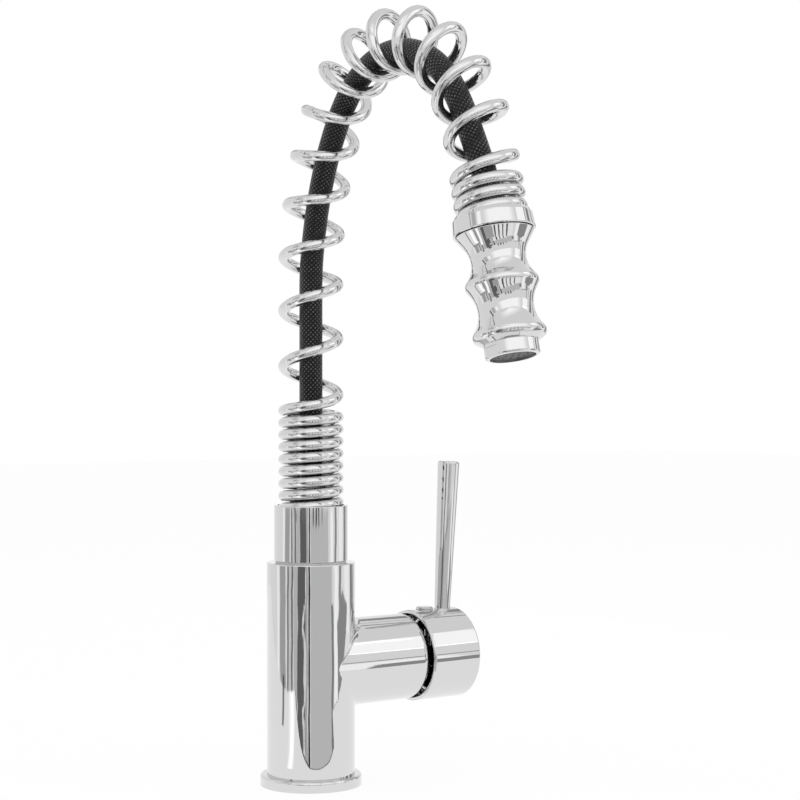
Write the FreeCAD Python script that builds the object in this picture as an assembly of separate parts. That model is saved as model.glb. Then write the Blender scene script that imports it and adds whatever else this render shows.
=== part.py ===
"""Spring-neck kitchen mixer with a side lever and a pull-down spray head.

Frame: origin on the deck at the column's axis, +Z up, spout towards -Y, valve arm towards +X.
Millimetres. Every piece is one STEP file in parts/, named after its node.
"""
import FreeCAD, Part
import math
import os
from FreeCAD import Placement, Rotation
from FreeCAD import Vector as V

# ---- clearances ----
RUN = 0.05          # radial clearance of a running fit
SLIP = 0.02         # radial clearance of pieces screwed or pushed together
GAP = 0.3           # gap between neighbours that move past each other

# ---- column ----
BASE_R = 26.0       # foot ring
BASE_H = 5.6
BASE_SPIGOT = 2.0   # how far the column drops into the foot ring
BODY_R = 22.5
BODY_WALL = 4.3
BODY_TOP = 113.0
WEB_Z = 30.0        # underside of the solid middle, where the hoses screw in
SPIGOT_R = 12.0     # swivel spigot on top of the column
SPIGOT_L = 20.0
SPIGOT_BORE_R = 7.0
RING_SECTION_R = 0.85   # O-rings of the swivel
GLIDE_T = 0.8

# ---- inlets and fixing stud ----
INLET_R = 4.5       # M10 x 1
INLET_DEPTH = 12.0
INLET_X = -5.0
INLET_Y = 9.0
STUD_R = 3.4        # M8
STUD_DEPTH = 14.0
STUD_X = 9.0
DRILL_OVERRUN = 1.2     # how far a cross drilling runs past the one it meets

# ---- side valve ----
VALVE_Z = 60.2
ARM_R = 22.4
ARM_END = 61.0      # distance of the arm's open end from the column's axis
ARM_ROUND = 5.0
ARM_FILLET = 4.0
CARTRIDGE_R = 17.5  # 35 mm cartridge
CARTRIDGE_X = 26.0  # floor of its bore
CARTRIDGE_L = 27.0
CARTRIDGE_WALL = 1.9
CARTRIDGE_BASE_T = 4.0
DISC_T = 3.5
PORT_CIRCLE_R = 8.5
INLET_PORT_R = 2.6
OUTLET_PORT_R = 3.5
NUT_THREAD_R = 18.8
NUT_PROUD = 1.5     # how far the clamping nut stands out of the arm
ROTOR_NECK_R = 11.0
STEM_W = 7.0        # square stem
PIVOT_R = 1.5
PIVOT_X = 47.0      # pivot of the stem, from the column's axis
BALL_R = 3.0
BALL_X = 41.0
TILT_MAX = 25.0     # how far the stem swings, in degrees

# ---- lever ----
CAP_R = 23.9
CAP_WALL = 2.0
CAP_GAP = 0.6       # open ring between the arm and the cap
CAP_L = 30.0
CAP_END_T = 14.0
CAP_ROUND = 1.2     # outer edge of its rim
HUB_R = 6.5
HUB_BACK = 3.9      # how far the hub stays behind the rim, to clear the nut as the lever lifts
PLUG_R = 4.5
PLUG_FROM_RIM = 10.5
PLUG_T = 2.2
PLUG_PROUD = 1.2
SET_SCREW_R = 2.5
ROD_FROM_END = 7.6
ROD_FOOT_R = 4.2
ROD_TIP_R = 5.9
ROD_L = 79.0
ROD_LEAN = 3.2
ROD_STUD_R = 3.0
ROD_STUD_L = 11.0

# ---- neck ----
NECK_R = 18.8
NECK_H = 28.2
CUP_DEPTH = 5.0
CUP_CLEAR = 0.3     # round the spring, in the neck and in the collar
NECK_WEB_T = 3.0

# ---- spring and hose ----
WIRE_R = 2.8
COIL_R = 13.9       # centre of the wire
CLOSED_PITCH = 6.2
CLOSED_TURNS_NECK = 8.1
CLOSED_TURNS_HEAD = 3.4
PITCH_RISE = 28.8   # open turns on the rising leg
PITCH_CREST = 20.0  # at the top of the arch
PITCH_FALL = 21.8   # and on the falling leg
RISE_TO = 73.0      # lengths above the neck between which the pitch eases from one to the next
CREST_AT = 240.0
FALL_FROM = 290.0
SOFT_NECK = 7.4     # length over which the closed turns open out, at the neck and at the head
SOFT_HEAD = 5.0
COIL_START = 21.0   # where round the axis the wire begins
STRAIGHT_RISE = 117.6   # straight run of the centre line above the neck
ARCH = ((156.0, 29.3), (61.2, 107.0), (92.0, 30.4))     # radius and turn of each arc
TAIL = 22.0         # straight run above the head
POINTS_PER_TURN = 8
HOSE_R = 5.9
HOSE_BORE_R = 3.9
HOSE_SAG = 5.1      # how far the hose lies inside the coil's centre line round the arch
HOSE_FALL = 15.0    # degrees that it still follows the coil past the crest
HOSE_END_R = 62.0   # its last bend, into the head
TAIL_R = 6.0        # the hose tail in the neck
BARB_R = 3.55
FITTING_BORE_R = 2.6
FERRULE_R = 7.3
FERRULE_L = 14.5
HEX_AF = 14.0
HEX_T = 4.5

# ---- spray head, heights measured down its axis from the end of the centre line ----
COLLAR_TOP = 6.2
COLLAR_DEPTH = 5.2
COLLAR_RIM_T = 0.5
COLLAR_SIDE_R = 18.3
COLLAR_EDGE_R = 18.8
COLLAR_SIDE_L = 8.0     # from the rim to the sharp lower edge
COLLAR_UNDER_R = 18.2   # its lower face, where the shell begins
COLLAR_L = 8.4
HEAD_FLANGE_R = 9.0
HEAD_FLANGE_T = 3.0
HEAD_THREAD_R = 7.5
SWIVEL_R = 6.0
SWIVEL_L = 9.0
LOCK_NUT_AF = 18.0
LOCK_NUT_T = 3.5
FIRST_CREST_R = 17.4    # corners of the shell's scalloped outline, before rounding
SECOND_CREST_R = 18.0
WAIST_R = 9.8
CREST_ROUND = 3.0
WAIST_ROUND = 14.8
FIRST_CREST = 37.8
SCALLOP_L = 24.2
FIRST_WAIST = 27.3
FIRST_WAIST_ROUND = 12.6
SHELL_TAIL = 3.1
CHAMBER_R = 9.3
OUTLET_THREAD_R = 10.6
OUTLET_THREAD_L = 9.0
AERATOR_R = 12.4
AERATOR_L = 6.4
AERATOR_FLAT = 11.5     # half the width across the spanner flats
INSERT_R = 10.4
INSERT_RECESS = 1.0
WASHER_T = 1.0
NOZZLE_R = 0.55

# ---- derived places ----
BODY_BOTTOM = BASE_H - BASE_SPIGOT
CAVITY_R = BODY_R - BODY_WALL
LOWER_SPIGOT_R = CAVITY_R + 1.8
SPIGOT_TOP = BODY_TOP + SPIGOT_L
BORE_R = SPIGOT_R + RUN
NECK_BOTTOM = BODY_TOP + GLIDE_T
NECK_TOP = NECK_BOTTOM + NECK_H
CUP_FLOOR = NECK_TOP - CUP_DEPTH
CUP_R = COIL_R + WIRE_R + CUP_CLEAR
CARTRIDGE_FRONT = CARTRIDGE_X + CARTRIDGE_L
DISC_X = CARTRIDGE_X + CARTRIDGE_BASE_T
CARRIER_X = DISC_X + 2 * DISC_T
CAP_X = ARM_END + CAP_GAP
CAP_END = CAP_X + CAP_L
CAP_FLOOR = CAP_END - CAP_END_T
PLUG_X = CAP_X + PLUG_FROM_RIM
ROD_X = CAP_END - ROD_FROM_END
CARRIER_END = PIVOT_X - STEM_W / 2 - GAP
COLLAR_END = COLLAR_TOP + COLLAR_L
COLLAR_FLOOR = COLLAR_TOP + COLLAR_DEPTH
FLANGE_TOP = COLLAR_FLOOR - HEAD_FLANGE_T
COIL_INNER_R = COIL_R - WIRE_R
SHELL_TOP = COLLAR_END + GAP
RECESS_END = SHELL_TOP + LOCK_NUT_T + 0.6
SWIVEL_END = RECESS_END + SWIVEL_L
LAST_CREST = FIRST_CREST + SCALLOP_L
SHELL_END = LAST_CREST + SHELL_TAIL
Z_AXIS = V(0, 0, 1)
X_AXIS = V(1, 0, 0)
Y_AXIS = V(0, 1, 0)
VALVE = V(0, 0, VALVE_Z)

nodes = {}


# ---- helpers ----
def corner(before, point, after, radius):
    """The two tangent points and the middle of an arc that rounds one corner of an outline."""
    side = min((before - point).Length, (after - point).Length)
    a = (before - point).normalize()
    b = (after - point).normalize()
    half = a.getAngle(b) / 2
    reach = min(radius / math.tan(half), 0.93 * side)
    radius = reach * math.tan(half)
    middle = (a + b).normalize()
    centre = point + middle * (radius / math.sin(half))
    return point + a * reach, centre - middle * radius, point + b * reach


def outline(points):
    """A closed wire through (radius, height) points; a third number rounds that corner."""
    flat = [V(p[0], 0, p[1]) for p in points]
    edges = []
    ends = []
    for i, p in enumerate(points):
        if len(p) == 3:
            start, middle, end = corner(flat[i - 1], flat[i], flat[(i + 1) % len(flat)], p[2])
            edges.append(Part.Arc(start, middle, end).toShape())
            ends.append((start, end))
        else:
            ends.append((flat[i], flat[i]))
    for i in range(len(points)):
        start = ends[i - 1][1]
        end = ends[i][0]
        if start.distanceToPoint(end) > 1e-6:
            edges.append(Part.LineSegment(start, end).toShape())
    return Part.Wire(Part.__sortEdges__(edges))


def turned(points):
    """A solid turned about Z from its half outline."""
    return Part.Face(outline(points)).revolve(V(0, 0, 0), Z_AXIS, 360)


def tube(outer, inner, low, high):
    return turned([(inner, low), (outer, low), (outer, high), (inner, high)])


def rod(radius, low, high):
    return Part.makeCylinder(radius, high - low, V(0, 0, low))


def hexagon(across_flats, low, high):
    circle = across_flats / math.sqrt(3)
    corners = [V(circle * math.cos(math.radians(a)), circle * math.sin(math.radians(a)), low)
               for a in range(0, 361, 60)]
    return Part.Face(Part.makePolygon(corners)).extrude(V(0, 0, high - low))


def placed(shape, base, direction):
    """A shape made along Z, laid along a direction from a base point."""
    moved = shape.copy()
    moved.Placement = Placement(base, Rotation(Z_AXIS, direction))
    return moved


def on_valve(shape):
    """A shape made along Z, laid along the arm so that its heights are distances from the column."""
    return placed(shape, VALVE, X_AXIS)


def keep(name, shape):
    nodes[name] = shape.removeSplitter() if shape.ShapeType != "Compound" else shape


# ---- foot ----
def make_foot():
    groove_in = BASE_R - 4.8
    groove_out = BASE_R - 1.8
    groove_h = 1.6
    ring = turned([
        (CAVITY_R, 0), (groove_in, 0), (groove_in, groove_h), (groove_out, groove_h),
        (groove_out, 0), (BASE_R, 0), (BASE_R, BASE_H, 1.6),
        (LOWER_SPIGOT_R + SLIP, BASE_H), (LOWER_SPIGOT_R + SLIP, BODY_BOTTOM), (CAVITY_R, BODY_BOTTOM)])
    keep("base_ring", ring)
    keep("base_gasket", tube(groove_out - 0.1, groove_in + 0.1, 0, groove_h))


# ---- cast column with the valve arm ----
def port_places():
    """The cartridge's three ports: centre across the arm, and radius."""
    places = []
    for angle, radius in ((90, OUTLET_PORT_R), (210, INLET_PORT_R), (330, INLET_PORT_R)):
        turn = math.radians(angle)
        places.append((PORT_CIRCLE_R * math.cos(turn), PORT_CIRCLE_R * math.sin(turn), radius))
    return places


def along_arm(radius, low, high, y=0.0, z=0.0):
    return Part.makeCylinder(radius, high - low, V(low, y, VALVE_Z + z), X_AXIS)


def make_column():
    column = rod(BODY_R, BASE_H, BODY_TOP)
    arm = on_valve(turned([(0, 0), (ARM_R, 0), (ARM_R, ARM_END, ARM_ROUND), (0, ARM_END)]))
    body = column.fuse(arm)
    joint = [e for e in body.Edges
             if e.BoundBox.XMax < ARM_END - ARM_ROUND - 1 and e.BoundBox.XMin > 0.5
             and e.BoundBox.ZMin > BASE_H + 1 and e.BoundBox.ZMax < BODY_TOP - 1]
    body = body.makeFillet(ARM_FILLET, joint)
    rim = [e for e in body.Edges
           if abs(e.BoundBox.ZMin - BODY_TOP) < 1e-3 and abs(e.BoundBox.ZMax - BODY_TOP) < 1e-3]
    body = body.makeFillet(0.6, rim)
    body = body.fuse(rod(LOWER_SPIGOT_R, BODY_BOTTOM, BASE_H + 1))

    groove_r = SPIGOT_R - 2 * RING_SECTION_R
    outline_points = [(0, BODY_TOP - 1), (SPIGOT_R, BODY_TOP - 1)]
    for z in ring_places():
        half = RING_SECTION_R * 1.25
        outline_points += [(SPIGOT_R, z - half), (groove_r, z - half), (groove_r, z + half),
                           (SPIGOT_R, z + half)]
    low, high = retaining_groove()
    outline_points += [(SPIGOT_R, low), (SPIGOT_R - 1.6, low), (SPIGOT_R - 1.6, high),
                       (SPIGOT_R, high), (SPIGOT_R, SPIGOT_TOP, 0.8), (0, SPIGOT_TOP)]
    body = body.fuse(turned(outline_points))

    bores = [
        rod(CAVITY_R, BODY_BOTTOM - 1, WEB_Z),
        along_arm(CARTRIDGE_R + RUN, CARTRIDGE_X, ARM_END + 1),
        along_arm(NUT_THREAD_R, CARTRIDGE_FRONT, ARM_END + 1),
        rod(BODY_R - 7, VALVE_Z + ARM_R + 2, BODY_TOP - 6),
        rod(SPIGOT_BORE_R, VALVE_Z + PORT_CIRCLE_R, SPIGOT_TOP + 1),
        Part.makeCylinder(STUD_R, STUD_DEPTH + 1, V(STUD_X, 0, WEB_Z - 1)),
    ]
    for y, z, radius in port_places():
        back = 0.0 if radius == OUTLET_PORT_R else INLET_X - INLET_PORT_R - DRILL_OVERRUN
        bores.append(along_arm(radius, back, CARTRIDGE_X + 1, y, z))
    port_z = VALVE_Z - PORT_CIRCLE_R / 2
    for y in (-INLET_Y, INLET_Y):
        bores.append(Part.makeCylinder(INLET_R, INLET_DEPTH + 1, V(INLET_X, y, WEB_Z - 1)))
        bores.append(Part.makeCylinder(INLET_PORT_R, port_z - WEB_Z, V(INLET_X, y, WEB_Z)))
    for y in (-CARTRIDGE_R * 0.75, CARTRIDGE_R * 0.75):
        bores.append(along_arm(2.0, CARTRIDGE_X - 3.5, CARTRIDGE_X + 1, y, 3.0))
    keep("mixer_body", body.cut(bores))


def ring_places():
    """Heights of the swivel's two O-rings."""
    return BODY_TOP + 4.5, BODY_TOP + 9.5


def retaining_groove():
    """Low and high side of the groove that the neck's grub screw runs in."""
    return BODY_TOP + 13.2, BODY_TOP + 17.6


def make_swivel_seals():
    groove_r = SPIGOT_R - 2 * RING_SECTION_R
    rings = [Part.makeTorus(groove_r + SLIP + RING_SECTION_R, RING_SECTION_R, V(0, 0, z), Z_AXIS)
             for z in ring_places()]
    keep("swivel_o_rings", Part.makeCompound(rings))
    keep("glide_ring", tube(NECK_R - 0.8, SPIGOT_R + GAP, BODY_TOP, NECK_BOTTOM))


# ---- cartridge ----
def make_cartridge():
    base = along_arm(CARTRIDGE_R, CARTRIDGE_X, DISC_X)
    seals = []
    for y, z, radius in port_places():
        base = base.cut(along_arm(radius, CARTRIDGE_X - 1, DISC_X + 1, y, z))
        base = base.cut(along_arm(radius + 2.1, CARTRIDGE_X - 1, CARTRIDGE_X + 1.5, y, z))
        seals.append(Part.makeTorus(radius + 1.2, 0.72, V(CARTRIDGE_X + 0.75, y, VALVE_Z + z), X_AXIS))
    for y in (-CARTRIDGE_R * 0.75, CARTRIDGE_R * 0.75):
        base = base.fuse(along_arm(1.9, CARTRIDGE_X - 3.0, CARTRIDGE_X, y, 3.0))
    keep("cartridge_base", base)
    keep("cartridge_port_seals", Part.makeCompound(seals))

    inner = CARTRIDGE_R - CARTRIDGE_WALL
    case = turned([
        (inner, DISC_X), (CARTRIDGE_R, DISC_X), (CARTRIDGE_R, CARTRIDGE_FRONT),
        (ROTOR_NECK_R + RUN, CARTRIDGE_FRONT), (ROTOR_NECK_R + RUN, CARTRIDGE_FRONT - 3),
        (inner, CARTRIDGE_FRONT - 3)])
    keep("cartridge_case", on_valve(case))

    disc = along_arm(inner - RUN, DISC_X, DISC_X + DISC_T)
    for y, z, radius in port_places():
        disc = disc.cut(along_arm(radius, DISC_X - 1, CARRIER_X, y, z))
    keep("fixed_disc", disc)

    moving_r = inner - 3.6
    moving = along_arm(moving_r, DISC_X + DISC_T, CARRIER_X)
    slot = along_arm(OUTLET_PORT_R, DISC_X, DISC_X + DISC_T + 2.2, 0, PORT_CIRCLE_R - 3.4)
    slot = slot.fuse(along_arm(OUTLET_PORT_R, DISC_X, DISC_X + DISC_T + 2.2, 0, -1.5))
    keep("moving_disc", moving.cut(slot))

    carrier = along_arm(moving_r, CARRIER_X, CARRIER_END)
    pocket = along_arm(BALL_R + GAP, BALL_X - BALL_R - GAP, CARRIER_END + 1)
    keep("disc_carrier", carrier.cut(pocket))


def make_rotor():
    inner = CARTRIDGE_R - CARTRIDGE_WALL
    low = CARRIER_END + GAP
    shoulder = CARTRIDGE_FRONT - 3 - RUN
    rotor = on_valve(turned([
        (0, low), (inner - RUN, low), (inner - RUN, shoulder), (ROTOR_NECK_R, shoulder),
        (ROTOR_NECK_R, CARTRIDGE_FRONT + 1, 0.4), (0, CARTRIDGE_FRONT + 1)]))
    slot_w = STEM_W + 2 * RUN
    tilt = math.radians(TILT_MAX)
    half_h = STEM_W / 2 / math.cos(tilt) + (CARTRIDGE_FRONT + 1 - PIVOT_X) * math.tan(tilt) + 1.6
    slot = Part.makeBox(20, slot_w, 2 * half_h, V(low - 1, -slot_w / 2, VALVE_Z - half_h))
    hole = Part.makeCylinder(PIVOT_R, 2 * inner, V(PIVOT_X, -inner, VALVE_Z), Y_AXIS)
    keep("rotor", rotor.cut(slot).cut(hole))
    half = inner - 1
    pin = Part.makeCylinder(PIVOT_R - SLIP, 2 * half, V(PIVOT_X, -half, VALVE_Z), Y_AXIS)
    keep("pivot_pin", pin)


def make_clamping_nut():
    end = ARM_END + NUT_PROUD
    nut = on_valve(turned([
        (12.6, CARTRIDGE_FRONT), (NUT_THREAD_R - SLIP, CARTRIDGE_FRONT), (NUT_THREAD_R - SLIP, end, 1.5),
        (15.6, end), (12.6, CARTRIDGE_FRONT + 4)]))
    for i in range(6):
        notch = Part.makeBox(3, 4, 3, V(end - 1.5, -2, NUT_THREAD_R - 2.2))
        notch.rotate(V(0, 0, 0), X_AXIS, 60 * i)
        notch.translate(VALVE)
        nut = nut.cut(notch)
    keep("clamping_nut", nut)


# ---- lever ----
def make_stem():
    half = STEM_W / 2
    end = PLUG_X + SET_SCREW_R + 1.5
    stem = Part.makeBox(end - PIVOT_X, STEM_W, STEM_W, V(PIVOT_X, -half, VALVE_Z - half))
    heel = Part.makeCylinder(half, STEM_W, V(PIVOT_X, -half, VALVE_Z), Y_AXIS)
    shank = along_arm(BALL_R - 1.1, BALL_X, PIVOT_X)
    ball = Part.makeSphere(BALL_R, V(BALL_X, 0, VALVE_Z))
    hole = Part.makeCylinder(PIVOT_R + RUN, STEM_W + 2, V(PIVOT_X, -half - 1, VALVE_Z), Y_AXIS)
    keep("stem", stem.fuse([heel, shank, ball]).cut(hole))


def rod_frame():
    """Foot and direction of the lever rod."""
    lean = math.radians(ROD_LEAN)
    foot = V(ROD_X, 0, VALVE_Z + CAP_R - 0.6)
    return foot, V(math.sin(lean), 0, math.cos(lean))


def make_lever():
    inner = CAP_R - CAP_WALL
    cap = on_valve(turned([
        (0, CAP_X + HUB_BACK), (HUB_R, CAP_X + HUB_BACK), (HUB_R, CAP_FLOOR, 1.5), (inner, CAP_FLOOR, 2.0),
        (inner, CAP_X, 0.5), (CAP_R, CAP_X, CAP_ROUND), (CAP_R, CAP_END, 1.0), (0, CAP_END)]))
    boss = Part.makeCylinder(SET_SCREW_R + 2, 10, V(PLUG_X, 0, VALVE_Z + HUB_R - 3))
    cap = cap.fuse(boss)
    socket_w = STEM_W + 2 * SLIP
    socket = Part.makeBox(CAP_FLOOR - CAP_X, socket_w, socket_w,
                          V(CAP_X, -socket_w / 2, VALVE_Z - socket_w / 2))
    screw_hole = Part.makeCylinder(SET_SCREW_R, CAP_R, V(PLUG_X, 0, VALVE_Z))
    plug_hole = Part.makeCylinder(PLUG_R, PLUG_T + 2, V(PLUG_X, 0, VALVE_Z + CAP_R - PLUG_T))
    foot, up = rod_frame()
    seat = Part.makeCylinder(ROD_FOOT_R + SLIP, 3, foot, up)
    rod_hole = Part.makeCylinder(ROD_STUD_R, ROD_STUD_L + 1, foot - up * (ROD_STUD_L + 0.5), up)
    cap = cap.cut([socket, screw_hole, plug_hole, seat, rod_hole])
    keep("lever_cap", cap)

    low = STEM_W / 2
    grub = Part.makeCylinder(SET_SCREW_R - SLIP, 8.5, V(PLUG_X, 0, VALVE_Z + low))
    key = placed(hexagon(2.5, 0, 3), V(PLUG_X, 0, VALVE_Z + low + 6), Z_AXIS)
    keep("set_screw", grub.cut(key))

    plug = turned([
        (0, -PLUG_T), (PLUG_R - SLIP, -PLUG_T), (PLUG_R - SLIP, PLUG_PROUD, 0.7), (0, PLUG_PROUD)])
    keep("index_plug", placed(plug, V(PLUG_X, 0, VALVE_Z + CAP_R), Z_AXIS))

    lever = turned([
        (0, -ROD_STUD_L), (ROD_STUD_R - SLIP, -ROD_STUD_L), (ROD_STUD_R - SLIP, 0), (ROD_FOOT_R, 0),
        (ROD_TIP_R, ROD_L, 1.2), (0, ROD_L)])
    keep("lever_rod", placed(lever, foot, up))


# ---- neck ----
def make_neck():
    sleeve = turned([
        (BORE_R, NECK_BOTTOM), (NECK_R, NECK_BOTTOM, 0.3), (NECK_R, NECK_TOP, 0.4), (CUP_R, NECK_TOP),
        (CUP_R, CUP_FLOOR), (TAIL_R, CUP_FLOOR), (TAIL_R, CUP_FLOOR - NECK_WEB_T),
        (BORE_R, CUP_FLOOR - NECK_WEB_T)])
    low, high = retaining_groove()
    screw_z = (low + high) / 2
    screw_r = 2.5
    hole = Part.makeCylinder(screw_r, NECK_R, V(0, 0, screw_z), Y_AXIS)
    keep("neck_sleeve", sleeve.cut(hole))

    length = NECK_R - BORE_R - 0.6
    screw = Part.makeCylinder(screw_r - SLIP, length, V(0, BORE_R + 0.1, screw_z), Y_AXIS)
    tip = Part.makeCylinder(1.9, 1.2, V(0, BORE_R - 1.0, screw_z), Y_AXIS)
    key = placed(hexagon(2.5, 0, 3), V(0, BORE_R + 0.1 + length - 2.5, screw_z), Y_AXIS)
    keep("neck_screw", screw.fuse(tip).cut(key))

    keep("spring_core", turned([
        (COIL_INNER_R - 2.4, CUP_FLOOR), (COIL_INNER_R - GAP, CUP_FLOOR),
        (COIL_INNER_R - GAP, CUP_FLOOR + 12, 0.8), (COIL_INNER_R - 2.4, CUP_FLOOR + 12)]))

    hex_top = CUP_FLOOR + HEX_T
    barb_end = hex_top + FERRULE_L - 1
    low = SPIGOT_TOP - 2.5
    tail = turned([
        (FITTING_BORE_R, low), (TAIL_R - SLIP, low), (TAIL_R - SLIP, CUP_FLOOR + 1),
        (BARB_R, CUP_FLOOR + 1), (BARB_R, barb_end), (FITTING_BORE_R, barb_end)])
    nut = hexagon(HEX_AF, CUP_FLOOR, hex_top).cut(rod(FITTING_BORE_R, CUP_FLOOR - 1, hex_top + 1))
    keep("hose_tail", tail.fuse(nut))
    keep("lower_ferrule", tube(FERRULE_R, HOSE_R + SLIP, hex_top, hex_top + FERRULE_L))


# ---- centre lines of the spring and the hose ----
def arch_runs():
    """(length, turn per millimetre) of each stretch of the coil's centre line above the neck."""
    runs = [(STRAIGHT_RISE, 0.0)]
    for radius, degrees in ARCH:
        runs.append((radius * math.radians(degrees), 1.0 / radius))
    runs.append((TAIL, 0.0))
    return runs


def walk(runs, height, s):
    """Distance out, height and heading after s millimetres of runs that start upwards on the axis."""
    out, heading = 0.0, 0.0
    for i, (length, turn) in enumerate(runs):
        step = s if i == len(runs) - 1 or s < 0 else min(s, length)
        if turn:
            after = heading + step * turn
            out += (math.cos(heading) - math.cos(after)) / turn
            height += (math.sin(after) - math.sin(heading)) / turn
            heading = after
        else:
            out += step * math.sin(heading)
            height += step * math.cos(heading)
        s -= step
        if s <= 0:
            break
    return out, height, heading


def centre_line(s):
    return walk(arch_runs(), NECK_TOP, s)


ARCH_LENGTH = sum(length for length, turn in arch_runs())
HEAD_OUT, HEAD_Z, HEAD_TURN = centre_line(ARCH_LENGTH)
HEAD_BASE = V(0, -HEAD_OUT, HEAD_Z)
HEAD_AXIS = V(0, -math.sin(HEAD_TURN), math.cos(HEAD_TURN))


def hose_runs(low, past_end):
    """The hose lies inside the coil from crest to fall, and is on the axis at both of its ends."""
    (rise_coil_r, rise_turn), (crest_coil_r, crest_turn), (fall_coil_r, fall_turn) = ARCH
    turn_in = math.radians(rise_turn)
    leave = turn_in + math.radians(crest_turn)
    out, height, heading = centre_line(STRAIGHT_RISE + rise_coil_r * turn_in)
    centre_out = out + crest_coil_r * math.cos(turn_in)
    centre_z = height - crest_coil_r * math.sin(turn_in)
    crest_r = crest_coil_r - HOSE_SAG
    rise_r = (centre_out - crest_r * math.cos(turn_in)) / (1 - math.cos(turn_in))
    rise_end = centre_z + (crest_r - rise_r) * math.sin(turn_in)
    fall_r = fall_coil_r - HOSE_SAG
    fall = math.radians(HOSE_FALL)
    out, height, heading = centre_line(ARCH_LENGTH - TAIL - fall_coil_r * (math.radians(fall_turn) - fall))
    last_turn = HEAD_TURN - heading
    across = HOSE_SAG * math.cos(last_turn) + fall_coil_r * (1 - math.cos(last_turn))
    straight = (across - HOSE_END_R * (1 - math.cos(last_turn))) / math.sin(last_turn)
    along = TAIL + (fall_coil_r - HOSE_SAG) * math.sin(last_turn)
    tail = along - straight * math.cos(last_turn) - HOSE_END_R * math.sin(last_turn)
    print("hose arc radii", [round(r, 1) for r in (rise_r, crest_r, fall_r, HOSE_END_R)],
          "straight before the head", round(tail, 1))
    return [(rise_end - low, 0.0), (rise_r * turn_in, 1 / rise_r),
            (crest_r * (leave - turn_in), 1 / crest_r), (fall_r * fall, 1 / fall_r),
            (straight, 0.0), (HOSE_END_R * last_turn, 1 / HOSE_END_R), (tail + past_end, 0.0)]


def pitch_at(s, first, last):
    """Pitch of the coil: closed at both ends, open between, widest on the rising leg."""
    closed_low = first + CLOSED_TURNS_NECK * CLOSED_PITCH
    closed_high = last - CLOSED_TURNS_HEAD * CLOSED_PITCH
    if s <= closed_low or s >= closed_high:
        return CLOSED_PITCH
    rise_share = min(max((s - RISE_TO) / (CREST_AT - RISE_TO), 0.0), 1.0)
    fall_share = min(max((s - CREST_AT) / (FALL_FROM - CREST_AT), 0.0), 1.0)
    open_pitch = PITCH_RISE + (PITCH_CREST - PITCH_RISE) * rise_share
    open_pitch += (PITCH_FALL - PITCH_CREST) * fall_share
    edge = min((s - closed_low) / SOFT_NECK, (closed_high - s) / SOFT_HEAD)
    return CLOSED_PITCH + (open_pitch - CLOSED_PITCH) * min(edge + 0.15, 1.0)


def make_spring():
    first = WIRE_R - CUP_DEPTH
    last = ARCH_LENGTH + COLLAR_FLOOR - GAP - WIRE_R
    points = []
    s = first
    phase = math.radians(COIL_START)
    while s < last:
        out, height, heading = centre_line(s)
        radial = COIL_R * math.cos(phase)
        side = -COIL_R * math.sin(phase)
        points.append(V(side, -out + radial * math.cos(heading), height + radial * math.sin(heading)))
        s += pitch_at(s, first, last) / POINTS_PER_TURN
        phase += 2 * math.pi / POINTS_PER_TURN
    curve = Part.BSplineCurve()
    curve.interpolate(points)
    wire = Part.Wire([arc.toShape() for arc in curve.toBiArcs(0.02)])
    start = wire.Edges[0]
    section = Part.Wire(Part.Circle(points[0], start.tangentAt(start.FirstParameter), WIRE_R).toShape())
    spring = wire.makePipeShell([section], True, True)
    print("spring turns", round(len(points) / POINTS_PER_TURN, 1), "wire length", round(wire.Length),
          "volume ratio", round(spring.Volume / (math.pi * WIRE_R ** 2 * wire.Length), 5))
    keep("spring", spring)


def make_hose():
    low = CUP_FLOOR + HEX_T + SLIP
    runs = hose_runs(low, FLANGE_TOP - GAP)
    edges = []
    s = 0.0
    for length, turn in runs:
        ends = [walk(runs, low, s + part * length) for part in (0.0, 0.5, 1.0)]
        start, middle, end = [V(0, -out, height) for out, height, heading in ends]
        edge = Part.Arc(start, middle, end) if turn else Part.LineSegment(start, end)
        edges.append(edge.toShape())
        s += length
    wire = Part.Wire(edges)
    outer = Part.Wire(Part.Circle(V(0, 0, low), Z_AXIS, HOSE_R).toShape())
    inner = Part.Wire(Part.Circle(V(0, 0, low), Z_AXIS, HOSE_BORE_R).toShape())
    hose = wire.makePipeShell([outer], True, True).cut(wire.makePipeShell([inner], True, True))
    section = math.pi * (HOSE_R ** 2 - HOSE_BORE_R ** 2)
    ratio = hose.Volume / (section * wire.Length)
    print("hose length", round(wire.Length, 1), "volume ratio", round(ratio, 5))
    keep("hose", hose)


# ---- collar and the fittings that stay with it ----
def on_head(shape):
    return placed(shape, HEAD_BASE, HEAD_AXIS)


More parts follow.
